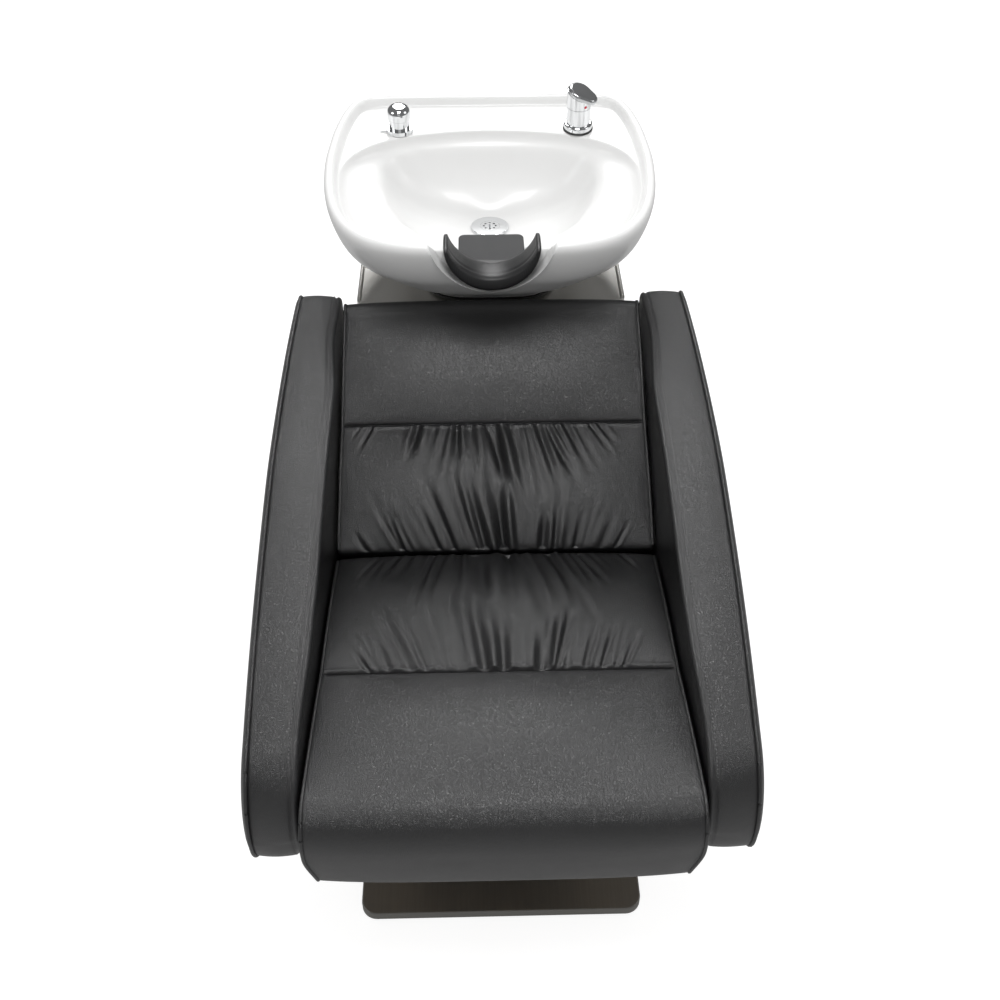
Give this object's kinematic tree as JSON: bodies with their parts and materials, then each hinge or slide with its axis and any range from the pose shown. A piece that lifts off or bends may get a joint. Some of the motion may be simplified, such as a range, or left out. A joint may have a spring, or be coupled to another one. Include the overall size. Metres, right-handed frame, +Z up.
{
  "type": "hair washing bed",
  "caption": "Reclined hair washing bed: padded leather seat with arms in front of a steel pedestal that carries a tilted ceramic wash basin, neck rest, mixer tap and hand shower",
  "frame": {"origin": "on the floor, under the middle of the box round the whole bed", "axes": "+Z is up, +Y runs from the feet to the basin, +X is the sitter's left, the right side when seen from the front"},
  "size_m": [0.7028, 1.2044, 0.9993],
  "materials": {
    "plate_steel": "dark brushed steel, edges brighter",
    "pedestal_steel": "brushed stainless steel, upright grain",
    "zinc": "zinc-plated, satin",
    "glaze": "white glaze, glossy",
    "chrome": "polished chrome",
    "satin_chrome": "satin chrome",
    "brass": "machined brass",
    "white_plastic": "moulded plumbing plastic",
    "black_plastic": "matte black plastic",
    "pad_rubber": "matte black rubber",
    "neck_rubber": "soft black rubber, fine diamond texture",
    "mark": "red and blue enamel",
    "leather": "black upholstery leather, soft sheen",
    "lining": "black bottom cloth",
    "plywood": "plain birch plywood",
    "frame_paint": "black powder coat"
  },
  "bodies": {
    "frame": {"base_plate": "plate_steel", "floor_pads": "pad_rubber", "pedestal_shell": "pedestal_steel", "pedestal_screws": "zinc", "pedestal_deck": "pedestal_steel", "hinge_leaves": "zinc", "hinge_pins": "zinc", "door_catch": "black_plastic", "basin": "glaze", "basin_gasket": "pad_rubber", "drain_flange": "chrome", "drain_seal": "pad_rubber", "drain_nut": "white_plastic", "tailpiece": "white_plastic", "bottle_trap": "white_plastic", "waste_pipe": "white_plastic", "mixer_seal": "pad_rubber", "mixer_ring": "chrome", "mixer_body": "chrome", "mixer_cartridge": "white_plastic", "mixer_nut": "brass", "shower_guide": "chrome", "inlet_bracket": "zinc", "water_inlets": "brass", "seat_cushion": "leather", "back_cushion": "leather", "left_arm": "leather", "right_arm": "leather", "left_arm_core": "plywood", "right_arm_core": "plywood", "seat_board": "plywood", "back_board": "plywood", "rear_panel": "leather", "under_panel": "lining", "seat_pillar": "frame_paint", "body_bolts": "zinc", "pillar_screws": "zinc", "back_bracket": "frame_paint", "back_bolts": "zinc"},
    "door": {"service_door": "pedestal_steel"},
    "mixer_turner": {"mixer_cap": "chrome", "temperature_mark": "mark"},
    "lever": {"mixer_lever": "satin_chrome"},
    "shower": {"shower_head": "chrome"},
    "strainer": {"strainer": "chrome"},
    "neck_rest": {"neck_rest": "neck_rubber"}
  },
  "joints": [
    {"name": "door_hinge", "type": "hinge", "parent": "frame", "child": "door", "pos_m": [-0.171, 0.577, 0.35], "axis": [0, 0, 1], "range_deg": [0, 110]},
    {"name": "mixer_turn", "type": "hinge", "parent": "frame", "child": "mixer_turner", "pos_m": [0.155, 0.50833, 0.92093], "axis": [0, -0.1115, 0.9938], "range_deg": [-45, 45]},
    {"name": "mixer_lift", "type": "hinge", "parent": "mixer_turner", "child": "lever", "pos_m": [0.13734, 0.50851, 0.99325], "axis": [-0.4226, -0.9007, -0.101], "range_deg": [0, 22]},
    {"name": "shower_lift", "type": "slide", "parent": "frame", "child": "shower", "axis": [0, -0.1115, 0.9938], "range_m": [0, 0.12]},
    {"name": "strainer_lift", "type": "slide", "parent": "frame", "child": "strainer", "axis": [0, 0, 1], "range_m": [0, 0.05]},
    {"name": "neck_rest_lift", "type": "slide", "parent": "frame", "child": "neck_rest", "axis": [0, 0, 1], "range_m": [0, 0.1]}
  ]
}
